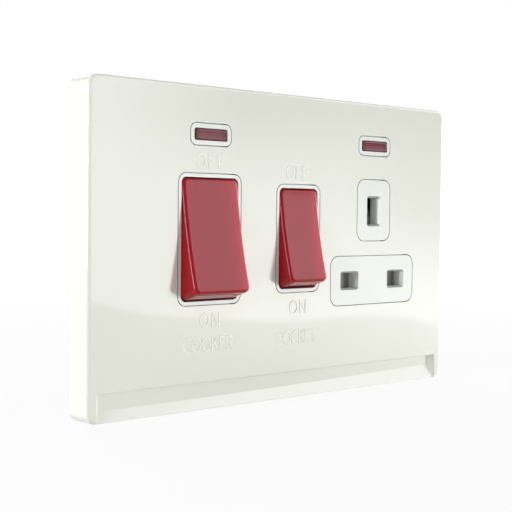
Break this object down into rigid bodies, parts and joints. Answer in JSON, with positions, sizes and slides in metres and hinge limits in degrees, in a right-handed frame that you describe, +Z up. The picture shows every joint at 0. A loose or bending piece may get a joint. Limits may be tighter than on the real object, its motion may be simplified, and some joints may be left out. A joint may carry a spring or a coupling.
{
  "type": "cooker control unit",
  "caption": "Wall-mounted cooker control unit: white clip-on plate with a tall red cooker rocker, a smaller red socket rocker, shuttered three-pin outlet and neon indicators.",
  "frame": {"origin": "midway between the two wall-box fixing screws, on the wall surface", "axes": "+X to the right along the plate's long side as a user sees it, +Y back into the wall box, +Z up"},
  "size_m": [0.146, 0.0408, 0.092],
  "materials": {
    "cover_plastic": "glossy moulded ivory white",
    "chassis_plastic": "glossy moulded white",
    "housing_plastic": "satin moulded white",
    "red_plastic": "glossy moulded red",
    "shutter_plastic": "satin grey",
    "plunger_plastic": "satin natural",
    "spring_steel": "drawn wire",
    "brass": "bright pressed strip",
    "contact_metal": "silvery contact face",
    "screw_steel": "zinc plated",
    "neon_lens": "translucent dark red",
    "lamp_glass": "clear glass tube",
    "resistor_body": "coated ceramic"
  },
  "bodies": {
    "base": {"front_cover": "cover_plastic", "chassis": "chassis_plastic", "rear_housing": "housing_plastic", "shutter_spring": "spring_steel", "line_busbar": "brass", "neutral_busbar": "brass", "cooker_line_strip": "brass", "cooker_neutral_strip": "brass", "socket_line_strip": "brass", "earth_strap": "brass", "supply_line_terminal": "brass", "supply_neutral_terminal": "brass", "earth_terminal": "brass", "cooker_line_terminal": "brass", "cooker_neutral_terminal": "brass", "fixed_contact_tips": "contact_metal", "terminal_screws": "screw_steel", "housing_screws": "screw_steel", "cooker_neon_lens": "neon_lens", "socket_neon_lens": "neon_lens", "cooker_neon_lamp": "lamp_glass", "socket_neon_lamp": "lamp_glass", "cooker_neon_resistor": "resistor_body", "socket_neon_resistor": "resistor_body"},
    "cooker_rocker_body": {"cooker_rocker": "red_plastic", "cooker_line_plunger": "plunger_plastic", "cooker_neutral_plunger": "plunger_plastic", "cooker_line_spring": "spring_steel", "cooker_neutral_spring": "spring_steel"},
    "socket_rocker_body": {"socket_rocker": "red_plastic", "socket_plunger": "plunger_plastic", "socket_plunger_spring": "spring_steel"},
    "cooker_line_arm_body": {"cooker_line_arm": "brass", "cooker_line_arm_tip": "contact_metal"},
    "cooker_neutral_arm_body": {"cooker_neutral_arm": "brass", "cooker_neutral_arm_tip": "contact_metal"},
    "socket_line_arm_body": {"socket_line_arm": "brass", "socket_line_arm_tip": "contact_metal"},
    "shutter_body": {"socket_shutter": "shutter_plastic"}
  },
  "joints": [
    {"name": "cooker_switch", "type": "hinge", "parent": "base", "child": "cooker_rocker_body", "pos_m": [-0.0316, -0.0056, 0.0025], "axis": [1, 0, 0], "range_deg": [0, 22]},
    {"name": "cooker_line_contact", "type": "hinge", "parent": "base", "child": "cooker_line_arm_body", "pos_m": [-0.0261, 0.00745, 0.0025], "axis": [1, 0, 0], "range_deg": [-22, 0]},
    {"name": "cooker_neutral_contact", "type": "hinge", "parent": "base", "child": "cooker_neutral_arm_body", "pos_m": [-0.0371, 0.00745, 0.0025], "axis": [1, 0, 0], "range_deg": [-22, 0]},
    {"name": "socket_switch", "type": "hinge", "parent": "base", "child": "socket_rocker_body", "pos_m": [0.0035, -0.0056, 0.0025], "axis": [1, 0, 0], "range_deg": [0, 22]},
    {"name": "socket_contact", "type": "hinge", "parent": "base", "child": "socket_line_arm_body", "pos_m": [0.0035, 0.00745, 0.0025], "axis": [1, 0, 0], "range_deg": [-22, 0]},
    {"name": "shutter_slide", "type": "slide", "parent": "base", "child": "shutter_body", "axis": [0, 0, -1], "range_m": [0, 0.006], "stiffness_N_per_m": 120, "springref_m": -0.004, "deforming": ["shutter_spring"]}
  ],
  "couplings": [
    {"joint": "cooker_line_contact", "follows": "cooker_switch", "ratio": -1},
    {"joint": "cooker_neutral_contact", "follows": "cooker_switch", "ratio": -1},
    {"joint": "socket_contact", "follows": "socket_switch", "ratio": -1}
  ]
}
